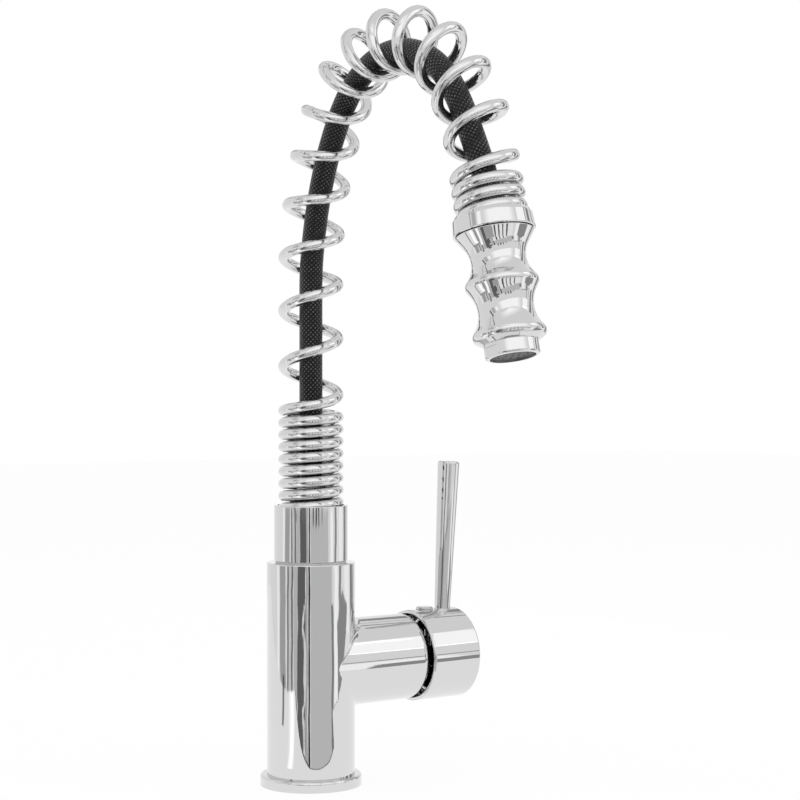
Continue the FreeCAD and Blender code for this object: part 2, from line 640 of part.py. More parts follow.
def make_collar():
    edge_h = COLLAR_TOP + COLLAR_SIDE_L
    collar = turned([
        (CUP_R, COLLAR_TOP), (CUP_R + COLLAR_RIM_T, COLLAR_TOP, 0.2), (COLLAR_SIDE_R, COLLAR_TOP + 1.6, 1.5),
        (COLLAR_EDGE_R, edge_h, 0.3), (COLLAR_UNDER_R, COLLAR_END),
        (HEAD_THREAD_R + SLIP, COLLAR_END), (HEAD_THREAD_R + SLIP, COLLAR_FLOOR), (CUP_R, COLLAR_FLOOR)])
    keep("collar", on_head(collar))

    nut_high = COLLAR_END + LOCK_NUT_T
    spigot_top = nut_high + 0.3
    groove_r = SWIVEL_R - 2 * RING_SECTION_R
    ring_h = RECESS_END + 3.5
    half = RING_SECTION_R * 1.25
    clip_low = SWIVEL_END + GAP
    clip_high = clip_low + 1.2
    clip_r = SWIVEL_R - 0.9
    ferrule_low = FLANGE_TOP - FERRULE_L
    fitting = turned([
        (FITTING_BORE_R, ferrule_low + 1), (BARB_R, ferrule_low + 1), (BARB_R, FLANGE_TOP),
        (HEAD_FLANGE_R, FLANGE_TOP), (HEAD_FLANGE_R, COLLAR_FLOOR), (HEAD_THREAD_R, COLLAR_FLOOR),
        (HEAD_THREAD_R, spigot_top), (SWIVEL_R, spigot_top), (SWIVEL_R, ring_h - half),
        (groove_r, ring_h - half), (groove_r, ring_h + half), (SWIVEL_R, ring_h + half),
        (SWIVEL_R, clip_low), (clip_r, clip_low), (clip_r, clip_high), (SWIVEL_R, clip_high),
        (SWIVEL_R, clip_high + 2, 0.5), (FITTING_BORE_R, clip_high + 2)])
    keep("head_fitting", on_head(fitting))
    keep("upper_ferrule", on_head(tube(FERRULE_R, HOSE_R + GAP, ferrule_low, FLANGE_TOP)))

    nut = hexagon(LOCK_NUT_AF, COLLAR_END, nut_high)
    nut = nut.cut(rod(HEAD_THREAD_R + SLIP, COLLAR_END - 1, nut_high + 1))
    keep("lock_nut", on_head(nut))
    ring = Part.makeTorus(groove_r + SLIP + RING_SECTION_R, RING_SECTION_R, V(0, 0, ring_h), Z_AXIS)
    keep("head_o_ring", on_head(ring))
    clip = tube(SWIVEL_R + 2.0, clip_r + SLIP, clip_low + SLIP, clip_high - SLIP)
    mouth = Part.makeBox(SWIVEL_R + 3, 5, 3, V(0, -2.5, clip_low - 1))
    keep("circlip", on_head(clip.cut(mouth)))


# ---- spray head ----
def make_shell():
    """A scalloped grip: rounded crests with long hollow waists between them."""
    recess_r = LOCK_NUT_AF / math.sqrt(3) + 1.2
    thread_top = SHELL_END - OUTLET_THREAD_L
    grip = [(COLLAR_UNDER_R - 0.1, SHELL_TOP, 0.3)]
    for i in range(2):
        crest = FIRST_CREST + i * SCALLOP_L
        waist = (crest - SCALLOP_L / 2, WAIST_ROUND) if i else (FIRST_WAIST, FIRST_WAIST_ROUND)
        crest_r = SECOND_CREST_R if i else FIRST_CREST_R
        grip += [(WAIST_R,) + waist, (crest_r, crest, CREST_ROUND)]
    shell = turned(grip + [
        (AERATOR_R + 0.6, SHELL_END), (OUTLET_THREAD_R, SHELL_END), (OUTLET_THREAD_R, thread_top),
        (CHAMBER_R, thread_top), (CHAMBER_R, SWIVEL_END), (SWIVEL_R + RUN, SWIVEL_END),
        (SWIVEL_R + RUN, RECESS_END), (recess_r, RECESS_END), (recess_r, SHELL_TOP)])
    keep("handset_shell", on_head(shell))


def make_aerator():
    top = SHELL_END - OUTLET_THREAD_L
    end = SHELL_END + AERATOR_L
    keep("aerator_washer", on_head(tube(OUTLET_THREAD_R - 0.1, CHAMBER_R, top, top + WASHER_T)))
    step = SHELL_END + 2
    throat = CHAMBER_R
    thread_r = OUTLET_THREAD_R - SLIP
    ring = turned([
        (throat, top + WASHER_T), (thread_r, top + WASHER_T), (thread_r, SHELL_END),
        (AERATOR_R, SHELL_END), (AERATOR_R, end, 1.1), (INSERT_R + SLIP, end), (INSERT_R + SLIP, step),
        (throat, step)])
    for side in (-1, 1):
        low = AERATOR_FLAT if side > 0 else -AERATOR_FLAT - 3
        ring = ring.cut(Part.makeBox(3, 2 * AERATOR_R, AERATOR_L, V(low, -AERATOR_R, SHELL_END + 1.5)))
    keep("aerator_ring", on_head(ring))

    insert = turned([
        (0, top + WASHER_T + 1), (throat - SLIP, top + WASHER_T + 1), (throat - SLIP, step), (INSERT_R, step),
        (INSERT_R, end - INSERT_RECESS), (0, end - INSERT_RECESS)])
    holes = []
    for ring_r, count in ((0.0, 1), (3.4, 6), (6.8, 12)):
        for i in range(count):
            turn = 2 * math.pi * i / count
            place = V(ring_r * math.cos(turn), ring_r * math.sin(turn), step)
            holes.append(Part.makeCylinder(NOZZLE_R, end, place))
    keep("aerator_insert", on_head(insert.cut(holes)))
    strainer = tube(CHAMBER_R - SLIP, 2.0, top - 2.0, top)
    keep("strainer", on_head(strainer))


# ---- build ----
def main():
    make_foot()
    make_column()
    make_swivel_seals()
    make_cartridge()
    make_rotor()
    make_clamping_nut()
    make_stem()
    make_lever()
    make_neck()
    make_spring()
    make_hose()
    make_collar()
    make_shell()
    make_aerator()
    os.makedirs("parts", exist_ok=True)
    for name, shape in nodes.items():
        shape.exportStep("parts/" + name + ".step")
        print(name, "valid" if shape.isValid() else "INVALID", len(shape.Solids), round(shape.Volume, 1))


main()
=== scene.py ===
# %% [markdown]
# # A spring-neck kitchen mixer tap
# This lesson dresses a finished CAD model. The column, valve, lever and spray head arrive as
# exact solids and stay as they are. The coil spring and the braided hose are soft pieces, so they are
# modelled here, and every surface gets a finish made of nodes.
# We start by loading the frame.

# %% Load the frame
import math

import bpy
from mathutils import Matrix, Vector


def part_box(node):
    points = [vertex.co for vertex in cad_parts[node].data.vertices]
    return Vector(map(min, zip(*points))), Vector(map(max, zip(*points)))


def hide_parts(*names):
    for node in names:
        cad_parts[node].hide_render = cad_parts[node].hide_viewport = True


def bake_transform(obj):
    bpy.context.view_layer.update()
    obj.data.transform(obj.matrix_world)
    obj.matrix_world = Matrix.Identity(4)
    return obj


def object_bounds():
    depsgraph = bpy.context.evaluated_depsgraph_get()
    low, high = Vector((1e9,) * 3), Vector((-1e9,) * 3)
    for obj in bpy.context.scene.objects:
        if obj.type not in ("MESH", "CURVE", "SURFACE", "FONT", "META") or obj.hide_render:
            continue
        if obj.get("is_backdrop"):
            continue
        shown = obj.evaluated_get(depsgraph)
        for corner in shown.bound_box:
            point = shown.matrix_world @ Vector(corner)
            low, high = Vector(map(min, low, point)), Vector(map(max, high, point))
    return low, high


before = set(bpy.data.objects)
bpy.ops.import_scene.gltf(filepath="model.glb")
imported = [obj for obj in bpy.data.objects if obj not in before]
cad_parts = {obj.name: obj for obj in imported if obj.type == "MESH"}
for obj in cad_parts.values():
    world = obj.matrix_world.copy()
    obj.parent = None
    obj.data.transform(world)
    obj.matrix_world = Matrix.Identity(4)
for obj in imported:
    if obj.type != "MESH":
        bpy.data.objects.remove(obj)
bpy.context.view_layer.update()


# %% [markdown]
# ## Camera
# The tap is seen from a little above the lever, level, and from in front of the valve arm. A long lens
# keeps the column's sides parallel, as a product picture needs.
# We give the place of the camera and the direction of its view, and leave the shift at nought.
# Lengths are in metres, as everywhere in Blender.

# %% Camera
VIEW_TURN = math.radians(36)
CAMERA_SIDE, CAMERA_BACK, CAMERA_HEIGHT = 0.0454, 0.974, 0.200
CAMERA_DIP = 0.0047
view_dir = Vector((math.sin(VIEW_TURN), math.cos(VIEW_TURN), 0.0))
right_dir = Vector((math.cos(VIEW_TURN), -math.sin(VIEW_TURN), 0.0))

camera_data = bpy.data.cameras.new("camera")
camera_data.sensor_width = 36.0
camera_data.lens = 86.0
camera = bpy.data.objects.new("camera", camera_data)
bpy.context.scene.collection.objects.link(camera)
camera.location = right_dir * CAMERA_SIDE - view_dir * CAMERA_BACK + Vector((0, 0, CAMERA_HEIGHT))
aim = view_dir + Vector((0, 0, -CAMERA_DIP))
camera.rotation_euler = aim.to_track_quat("-Z", "Y").to_euler()
bpy.context.scene.camera = camera
bpy.context.scene.view_settings.view_transform = "Standard"
print("camera", [round(v, 3) for v in camera.location], "lens", camera_data.lens)


# %% [markdown]
# ## Small tools for materials
# Every finish below is a Principled BSDF with a few nodes in front of it. The helpers make a material,
# add a node, and join two sockets, so that each finish reads as a short recipe.

# %% Material helpers
def new_finish(name, color, metallic=0.0, roughness=0.4):
    """A new material with its plain values set on the shader itself."""
    material = bpy.data.materials.new(name)
    material.use_nodes = True
    shader = material.node_tree.nodes["Principled BSDF"]
    shader.inputs["Base Color"].default_value = (*color, 1.0)
    shader.inputs["Metallic"].default_value = metallic
    shader.inputs["Roughness"].default_value = roughness
    return material, shader


def add(tree, kind, **values):
    """Adds a node and sets its properties or its inputs by name."""
    node = tree.nodes.new(kind)
    for key, value in values.items():
        if hasattr(node, key):
            setattr(node, key, value)
        else:
            node.inputs[key.replace("_", " ")].default_value = value
    return node


def maths(tree, operation, a, b=None):
    """A Math node. Each input is a socket or a number."""
    node = tree.nodes.new("ShaderNodeMath")
    node.operation = operation
    for socket, value in zip(node.inputs, (a, b)):
        if value is None:
            continue
        if isinstance(value, (int, float)):
            socket.default_value = value
        else:
            tree.links.new(value, socket)
    return node.outputs[0]


def new_group(name, inputs, outputs):
    """An empty shader node group with named sockets; returns its tree and its two end nodes."""
    tree = bpy.data.node_groups.new(name, "ShaderNodeTree")
    for label, kind, value in inputs:
        socket = tree.interface.new_socket(label, in_out="INPUT", socket_type=kind)
        if value is not None:
            socket.default_value = value
    for label, kind in outputs:
        tree.interface.new_socket(label, in_out="OUTPUT", socket_type=kind)
    return tree, tree.nodes.new("NodeGroupInput"), tree.nodes.new("NodeGroupOutput")


def use_group(tree, group, **values):
    """Adds a node that runs a shared group, with some of its inputs set by name."""
    node = tree.nodes.new("ShaderNodeGroup")
    node.node_tree = group
    for key, value in values.items():
        node.inputs[key.replace("_", " ")].default_value = value
    return node


def vary_roughness(tree, shader, value, low_rough, high_rough, **value_range):
    """Spreads the roughness between two limits as a value goes over its range."""
    spread = add(tree, "ShaderNodeMapRange", To_Min=low_rough, To_Max=high_rough, **value_range)
    tree.links.new(value, spread.inputs["Value"])
    tree.links.new(spread.outputs["Result"], shader.inputs["Roughness"])


def raise_surface(tree, shader, height, depth):
    """Tilts the shading as if the surface stood up by the height times a depth in metres."""
    bump = add(tree, "ShaderNodeBump", Strength=1.0, Distance=depth)
    tree.links.new(height, bump.inputs["Height"])
    tree.links.new(bump.outputs["Normal"], shader.inputs["Normal"])


print("helpers", 7)


# %% [markdown]
# ## Surface marks
# Polished plate is never quite even. It has slow waves left by casting and buffing, and hairline marks
# from wiping. One node group makes both from noise on Object coordinates, and each metal takes it with
# its own strength. The group gives a height for a Bump node, and a mask that varies the roughness.

# %% Node group for buffed metal
HAIR_SCALE = (900.0, 900.0, 60.0)


def make_buffed_group():
    """Slow waves and upright hairlines, as a height and as a mask."""
    tree, start, end = new_group(
        "buffed_marks",
        [("Wave Scale", "NodeSocketFloat", 25.0), ("Wave", "NodeSocketFloat", 1.0),
         ("Hairline", "NodeSocketFloat", 0.1)],
        [("Height", "NodeSocketFloat"), ("Mask", "NodeSocketFloat")])
    place = add(tree, "ShaderNodeTexCoord")
    waves = add(tree, "ShaderNodeTexNoise", Detail=1.0, Roughness=0.4)
    tree.links.new(place.outputs["Object"], waves.inputs["Vector"])
    tree.links.new(start.outputs["Wave Scale"], waves.inputs["Scale"])
    stretch = add(tree, "ShaderNodeMapping", Scale=HAIR_SCALE)
    tree.links.new(place.outputs["Object"], stretch.inputs["Vector"])
    hairs = add(tree, "ShaderNodeTexNoise", Scale=1.0, Detail=3.0, Roughness=0.7)
    tree.links.new(stretch.outputs["Vector"], hairs.inputs["Vector"])
    slow = maths(tree, "MULTIPLY", waves.outputs["Fac"], start.outputs["Wave"])
    fine = maths(tree, "MULTIPLY", hairs.outputs["Fac"], start.outputs["Hairline"])
    tree.links.new(maths(tree, "ADD", slow, fine), end.inputs["Height"])
    tree.links.new(hairs.outputs["Fac"], end.inputs["Mask"])
    return tree


buffed = make_buffed_group()
print("group", buffed.name)


# %% [markdown]
# ## Metals
# Chrome is nearly a mirror, and only a little darker than what it shows. Each metal is one row of
# numbers: its colour, the least and most roughness, and the scale and strength of its marks. Chrome
# that was cast and buffed by hand waves more than chrome that was turned, and drawn wire is a little
# duller than both.

# %% Metal finishes
CHROME = (0.63, 0.63, 0.635)
HAIR_RANGE = {"From_Min": 0.35, "From_Max": 0.75}


def metal(name, color, low_rough, high_rough, wave_scale, wave, hairline, depth):
    """A metal whose roughness and shape vary a little over the surface."""
    material, shader = new_finish(name, color, 1.0, low_rough)
    tree = material.node_tree
    marks = use_group(tree, buffed, Wave_Scale=wave_scale, Wave=wave, Hairline=hairline)
    vary_roughness(tree, shader, marks.outputs["Mask"], low_rough, high_rough, **HAIR_RANGE)
    raise_surface(tree, shader, marks.outputs["Height"], depth)
    return material


cast_chrome = metal("cast_chrome", CHROME, 0.02, 0.06, 22.0, 1.0, 0.01, 0.0004)
turned_chrome = metal("turned_chrome", CHROME, 0.02, 0.05, 30.0, 0.5, 0.01, 0.0002)
wire_chrome = metal("wire_chrome", CHROME, 0.03, 0.08, 45.0, 0.5, 0.02, 0.0002)
machined_brass = metal("machined_brass", (0.72, 0.56, 0.28), 0.18, 0.32, 60.0, 0.2, 0.2, 0.0001)
stainless = metal("stainless", (0.60, 0.60, 0.60), 0.2, 0.35, 60.0, 0.2, 0.3, 0.0001)
# The clamping nut is near-black so that the gap between the arm and the cap shows dark: painted shade in
# that gap.
black_metal_as_gap_shade = metal("black_metal_as_gap_shade", (0.02, 0.02, 0.022), 0.35, 0.5, 60.0, 0.2, 0.2, 0.0001)
print("metals", 6)


# %% [markdown]
# ## Braid
# The hose wears a sleeve of black nylon yarns that cross over and under each other on two diagonals.
# A printed pattern would look flat, so the group works out the weave from the hose's own UV map, where U
# goes round and V goes along, both in metres. It tells which family of yarns is on top at each crossing,
# and gives that yarn a rounded height and fine threads along its length.

# %% Node group for the braid
THREADS_PER_YARN = 5.0


def make_braid_group():
    """The weave's height, the fine threads, a mask for the painted shade in the gaps, and how near a point
    is to the top of a yarn.
    """
    tree, start, end = new_group(
        "woven_braid", [("Yarns Per Metre", "NodeSocketFloat", 900.0)],
        [("Height", "NodeSocketFloat"), ("Threads", "NodeSocketFloat"),
         ("Gap Shade", "NodeSocketFloat"), ("Crown", "NodeSocketFloat")])
    uv = add(tree, "ShaderNodeTexCoord")
    split = add(tree, "ShaderNodeSeparateXYZ")
    tree.links.new(uv.outputs["UV"], split.inputs[0])
    count = start.outputs["Yarns Per Metre"]
    along = maths(tree, "MULTIPLY", split.outputs["Y"], count)
    round_it = maths(tree, "MULTIPLY", split.outputs["X"], count)
    first = maths(tree, "ADD", round_it, along)
    second = maths(tree, "SUBTRACT", round_it, along)
    cells = maths(tree, "ADD", maths(tree, "FLOOR", first), maths(tree, "FLOOR", second))
    on_top = maths(tree, "FLOORED_MODULO", cells, 2.0)

    def hump(value):
        """Rises and falls once for each whole step of the value."""
        return maths(tree, "SINE", maths(tree, "MULTIPLY", maths(tree, "FRACT", value), math.pi))

    def pick(a, b):
        """a where the first family is on top, b where the second is."""
        other = maths(tree, "SUBTRACT", 1.0, on_top)
        return maths(tree, "ADD", maths(tree, "MULTIPLY", a, other), maths(tree, "MULTIPLY", b, on_top))

    across = pick(hump(second), hump(first))
    lengthwise = pick(hump(first), hump(second))
    fade = maths(tree, "POWER", lengthwise, 0.5)
    height = maths(tree, "MULTIPLY", maths(tree, "POWER", across, 0.6), fade)
    crown = maths(tree, "MULTIPLY", maths(tree, "POWER", across, 2.0), fade)
    threads = pick(maths(tree, "FRACT", maths(tree, "MULTIPLY", second, THREADS_PER_YARN)),
                   maths(tree, "FRACT", maths(tree, "MULTIPLY", first, THREADS_PER_YARN)))
    thread_hump = maths(tree, "SINE", maths(tree, "MULTIPLY", threads, math.pi))
    tree.links.new(height, end.inputs["Height"])
    tree.links.new(thread_hump, end.inputs["Threads"])
    tree.links.new(maths(tree, "MULTIPLY", across, lengthwise), end.inputs["Gap Shade"])
    tree.links.new(crown, end.inputs["Crown"])
    return tree


braid_weave = make_braid_group()
print("group", braid_weave.name)


# %% [markdown]
# Nylon yarn is black, but the very top of each crossing is polished by handling and flashes white. A
# clear coat that exists only on those crowns gives small bright flecks and leaves the rest deep black.
# Slow noise makes some crowns duller than others. The base colour is painted darker in the gaps between the
# yarns, as shade.

# %% Braid finish
HOSE_R = 0.0059
YARNS_ROUND = 16
YARNS_PER_METRE = YARNS_ROUND / (math.tau * HOSE_R)


def make_braid():
    """Black yarns with a clear coat on their crowns alone."""
    material, shader = new_finish("black_braid", (0.01, 0.01, 0.011), 0.0, 0.3)
    shader.inputs["Specular IOR Level"].default_value = 0.3
    shader.inputs["Coat IOR"].default_value = 2.3
    shader.inputs["Coat Roughness"].default_value = 0.14
    tree = material.node_tree
    weave = use_group(tree, braid_weave, Yarns_Per_Metre=YARNS_PER_METRE)
    # Painted shade: the base colour is darkest where the yarns dive under each other, lighter on their
    # tops.
    tone = add(tree, "ShaderNodeValToRGB")
    tone.color_ramp.elements[0].color = (0.002, 0.002, 0.002, 1)
    tone.color_ramp.elements[1].color = (0.012, 0.012, 0.013, 1)
    tree.links.new(weave.outputs["Gap Shade"], tone.inputs["Fac"])
    tree.links.new(tone.outputs["Color"], shader.inputs["Base Color"])
    shine = add(tree, "ShaderNodeMapRange", From_Min=0.74, From_Max=0.90)
    tree.links.new(weave.outputs["Crown"], shine.inputs["Value"])
    place = add(tree, "ShaderNodeTexCoord")
    handling = add(tree, "ShaderNodeTexNoise", Scale=260.0, Detail=1.0)
    tree.links.new(place.outputs["UV"], handling.inputs["Vector"])
    worn = add(tree, "ShaderNodeMapRange", From_Min=0.35, From_Max=0.65, To_Min=0.35)
    tree.links.new(handling.outputs["Fac"], worn.inputs["Value"])
    tree.links.new(maths(tree, "MULTIPLY", shine.outputs["Result"], worn.outputs["Result"]),
                   shader.inputs["Coat Weight"])
    fine = maths(tree, "MULTIPLY", weave.outputs["Threads"], 0.12)
    raise_surface(tree, shader, maths(tree, "ADD", weave.outputs["Height"], fine), 0.0005)
    return material


black_braid = make_braid()
print("yarns", YARNS_ROUND, "each way,", round(1000 / YARNS_PER_METRE, 2), "mm apart")


# %% [markdown]
# ## Moulded and fired pieces
# Rubber rings, plastic housings and ceramic discs are mostly hidden inside, but each still has its own
# skin. Moulded plastic has a fine even grain, rubber is dull with a little dust, and the ceramic is
# lapped smooth. One grain group serves all of them.

# %% Node group for moulded grain
def make_grain_group():
    """A fine even grain for the height, and slow patches for the tone."""
    tree, start, end = new_group(
        "moulded_grain", [("Grain Scale", "NodeSocketFloat", 2000.0)],
        [("Height", "NodeSocketFloat"), ("Patches", "NodeSocketFloat")])
    place = add(tree, "ShaderNodeTexCoord")
    grain = add(tree, "ShaderNodeTexNoise", Detail=2.0, Roughness=0.6)
    tree.links.new(place.outputs["Object"], grain.inputs["Vector"])
    tree.links.new(start.outputs["Grain Scale"], grain.inputs["Scale"])
    patches = add(tree, "ShaderNodeTexNoise", Scale=120.0, Detail=2.0)
    tree.links.new(place.outputs["Object"], patches.inputs["Vector"])
    tree.links.new(grain.outputs["Fac"], end.inputs["Height"])
    tree.links.new(patches.outputs["Fac"], end.inputs["Patches"])
    return tree


moulded = make_grain_group()
print("group", moulded.name)


# %% [markdown]
# Each moulded or fired finish is again one row: a dark and a light tone for its patches, the roughness,
# the scale of its grain and the grain's depth.

# %% Moulded finishes
def moulding(name, dark, light, low_rough, high_rough, grain_scale, depth):
    """A plastic, rubber or ceramic skin whose tone and roughness vary in patches."""
    material, shader = new_finish(name, light, 0.0, low_rough)
    tree = material.node_tree
    skin = use_group(tree, moulded, Grain_Scale=grain_scale)
    tone = add(tree, "ShaderNodeValToRGB")
    tone.color_ramp.elements[0].position = 0.3
    tone.color_ramp.elements[1].position = 0.7
    tone.color_ramp.elements[0].color = (*dark, 1)
    tone.color_ramp.elements[1].color = (*light, 1)
    tree.links.new(skin.outputs["Patches"], tone.inputs["Fac"])
    tree.links.new(tone.outputs["Color"], shader.inputs["Base Color"])
    vary_roughness(tree, shader, skin.outputs["Patches"], low_rough, high_rough)
    raise_surface(tree, shader, skin.outputs["Height"], depth)
    return material


rubber = moulding("black_rubber", (0.012, 0.012, 0.012), (0.022, 0.022, 0.022), 0.6, 0.8, 1500, 0.00003)
acetal = moulding("white_plastic", (0.74, 0.74, 0.72), (0.80, 0.80, 0.78), 0.35, 0.5, 2200, 0.00002)
nozzle_grey = moulding("dark_plastic", (0.022, 0.022, 0.024), (0.034, 0.034, 0.036), 0.4, 0.55,
                       2500, 0.00001)
fired = moulding("ceramic", (0.82, 0.81, 0.78), (0.87, 0.86, 0.84), 0.12, 0.2, 3000, 0.000005)
print("mouldings", 4)


# %% [markdown]
# ## Index plug
# The little plug over the set screw is a silvered cap, slightly domed, with a dark ring painted inside its
# rim as the shade of a groove.
# The rings come from the distance to the plug's own centre, measured in radii, which keeps them round
# and needs no UV map.

# %% Plug finish
# Share of the radius and tone of each ring; the dark ring from 0.68 to 0.76 is painted shade of a groove.
PLUG_RINGS_WITH_GROOVE_SHADE = ((0.62, 0.8), (0.68, 0.15), (0.76, 0.15), (0.82, 0.6))


def make_plug(centre, radius):
    """A silvered cap with a dark ring painted as groove shade. Each ring is a share of the radius and its
    tone.
    """
    material, shader = new_finish("silvered_plug", (0.6, 0.6, 0.6), 0.9, 0.12)
    tree = material.node_tree
    place = add(tree, "ShaderNodeTexCoord")
    shift = add(tree, "ShaderNodeVectorMath", operation="SUBTRACT")
    shift.inputs[1].default_value = centre
    tree.links.new(place.outputs["Object"], shift.inputs[0])
    level = add(tree, "ShaderNodeVectorMath", operation="MULTIPLY")
    level.inputs[1].default_value = (1 / radius, 1 / radius, 0)
    tree.links.new(shift.outputs["Vector"], level.inputs[0])
    reach = add(tree, "ShaderNodeVectorMath", operation="LENGTH")
    tree.links.new(level.outputs["Vector"], reach.inputs[0])
    rings_with_groove_shade = add(tree, "ShaderNodeValToRGB")
    rings_with_groove_shade.color_ramp.elements[0].color = (0.8, 0.8, 0.8, 1)
    rings_with_groove_shade.color_ramp.elements[1].color = (0.5, 0.5, 0.5, 1)
    for stop, tone in PLUG_RINGS_WITH_GROOVE_SHADE:
        rings_with_groove_shade.color_ramp.elements.new(stop).color = (tone, tone, tone, 1)
    tree.links.new(reach.outputs["Value"], rings_with_groove_shade.inputs["Fac"])
    tree.links.new(rings_with_groove_shade.outputs["Color"], shader.inputs["Base Color"])
    dome = maths(tree, "SUBTRACT", 1.0, maths(tree, "POWER", reach.outputs["Value"], 2.0))
    raise_surface(tree, shader, dome, 0.0007)
    return material


plug_low, plug_high = (Vector(corner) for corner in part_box("index_plug"))
silvered_plug = make_plug((plug_low + plug_high) / 2, (plug_high.x - plug_low.x) / 2)
print("plug", round((plug_high.x - plug_low.x) * 1000, 1), "mm across")


# %% [markdown]
# ## Dressing the CAD pieces
# Each CAD piece already says which finish it takes, in the name of its material slot. We keep the shape
# and swap the material. The body, neck and cap are cast and buffed by hand, so they carry the slower
# waves; turned pieces are more even.

# %% Give every CAD piece its finish
FINISHES = {
    "chrome": turned_chrome, "spring_wire": wire_chrome, "brass": machined_brass, "stainless": stainless,
    "black_rubber": rubber, "white_plastic": acetal, "ceramic": fired, "dark_nut": black_metal_as_gap_shade,
    "stem_steel": stainless, "grey_plastic": silvered_plug, "dark_plastic": nozzle_grey,
    "braid": black_braid,
}
CAST_PIECES = ("mixer_body", "neck_sleeve", "lever_cap")
for name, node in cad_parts.items():
    for material_slot in node.material_slots:
        finish = FINISHES[material_slot.material.name.split(".")[0]]
        material_slot.material = cast_chrome if name in CAST_PIECES else finish
print("dressed", len(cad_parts), "pieces")


# %% [markdown]
# ## The arch
# The coil and the hose share one line: straight up from the neck, over in three arcs that tighten and
# open again, and straight down to the head. Tube benders describe a line in the same way, as lengths
# and turns, so a short walk along those runs gives the place and heading at any length.

# %% Centre line of the arch
MM = 0.001
NECK_TOP = 142.0
STRAIGHT_RISE = 117.6
ARCH = ((156.0, 29.3), (61.2, 107.0), (92.0, 30.4))
TAIL = 22.0
arch_runs = [(STRAIGHT_RISE, 0.0)]
arch_runs += [(radius * math.radians(turn), 1 / radius) for radius, turn in ARCH]
arch_runs += [(TAIL, 0.0)]
arch_length = sum(length for length, turn in arch_runs)


def centre_line(s):
    """Distance out, height and heading after s millimetres from the top of the neck."""
    out, height, heading = 0.0, NECK_TOP, 0.0
    for i, (length, turn) in enumerate(arch_runs):
        step = s if i == len(arch_runs) - 1 or s < 0 else min(s, length)
        if turn:
            after = heading + step * turn
            out += (math.cos(heading) - math.cos(after)) / turn
            height += (math.sin(after) - math.sin(heading)) / turn
            heading = after
        else:
            out += step * math.sin(heading)
            height += step * math.cos(heading)
        s -= step
        if s <= 0:
            break
    return out, height, heading


print("arch", round(arch_length, 1), "mm long")


# %% [markdown]
# ## Coil spring
# The spring is one round wire wound in a right-hand coil. It is close wound at both ends and opens out
# over the arch. A Screw modifier makes such a coil, but stretching its turns would flatten the wire, so
# the wire here is a curve with a round bevel. The pitch decides how far each step moves along the arch.
# Lengths in this part are in millimetres, measured along the centre line from the top of the neck.

# %% Pitch of the coil
WIRE_R = 2.8
COIL_R = 13.9
CLOSED_PITCH = 6.2
CLOSED_TURNS_NECK, CLOSED_TURNS_HEAD = 8.1, 3.4
PITCH_RISE, PITCH_DROP, PITCH_GAIN = 28.8, 8.8, 1.8
RISE_TO, CREST_AT, FALL_FROM = 73.0, 240.0, 290.0
SOFT_NECK, SOFT_HEAD = 7.4, 5.0
FIRST_SHARE = 0.15
CUP_DEPTH, COLLAR_FLOOR, GAP = 5.0, 11.4, 0.3
coil_first = WIRE_R - CUP_DEPTH
coil_last = arch_length + COLLAR_FLOOR - GAP - WIRE_R


def pitch_at(s):
    """Closed at both ends, widest on the rising side, narrower over the top."""
    closed_low = coil_first + CLOSED_TURNS_NECK * CLOSED_PITCH
    closed_high = coil_last - CLOSED_TURNS_HEAD * CLOSED_PITCH
    if s <= closed_low or s >= closed_high:
        return CLOSED_PITCH
    rise_share = min(max((s - RISE_TO) / (CREST_AT - RISE_TO), 0.0), 1.0)
    fall_share = min(max((s - CREST_AT) / (FALL_FROM - CREST_AT), 0.0), 1.0)
    open_pitch = PITCH_RISE - PITCH_DROP * rise_share + PITCH_GAIN * fall_share
    edge = min((s - closed_low) / SOFT_NECK, (closed_high - s) / SOFT_HEAD)
    return CLOSED_PITCH + (open_pitch - CLOSED_PITCH) * min(edge + FIRST_SHARE, 1.0)


print("coil from", round(coil_first, 1), "to", round(coil_last, 1), "mm, widest pitch", PITCH_RISE)


# %% [markdown]
# A winding machine feeds the wire by a table, so here too the pitch is read eight times a turn. Between
# two readings the points follow the arch evenly, and the wire through them is converted to a mesh.

# %% Wind the wire
COIL_START = math.radians(21.0)
READINGS = 8
STEPS_PER_TURN = 64
WIRE_SIDES = 20


def deselect():
    """Leaves no object selected."""
    bpy.ops.object.select_all(action="DESELECT")


def pick_only(piece):
    """Makes a piece the only one that the next operator works on."""
    deselect()
    piece.select_set(True)
    bpy.context.view_layer.objects.active = piece


def coil_points():
    """Points along the wire, as many to each reading of the pitch."""
    points = []
    s, turn = coil_first, COIL_START
    part = STEPS_PER_TURN // READINGS
    while s < coil_last:
        step = pitch_at(s) / READINGS
        for i in range(part):
            t = s + step * i / part
            a = turn + math.tau / READINGS * i / part
            out, height, heading = centre_line(t)
            radial = COIL_R * math.cos(a)
            points.append(Vector((-COIL_R * math.sin(a), -out + radial * math.cos(heading),
                                  height + radial * math.sin(heading))) * MM)
        s += step
        turn += math.tau / READINGS
    return points


def wire_from(name, points, radius, sides):
    """A round wire through the points, as a mesh with smooth faces and closed ends."""
    line = bpy.data.curves.new(name, "CURVE")
    line.dimensions = "3D"
    line.bevel_depth = radius
    line.bevel_resolution = sides // 2 - 2
    line.use_fill_caps = True
    spline = line.splines.new("POLY")
    spline.points.add(len(points) - 1)
    for place, point in zip(spline.points, points):
        place.co = (*point, 1.0)
    piece = bpy.data.objects.new(name, line)
    bpy.context.scene.collection.objects.link(piece)
    pick_only(piece)
    bpy.ops.object.convert(target="MESH")
    return bpy.context.view_layer.objects.active


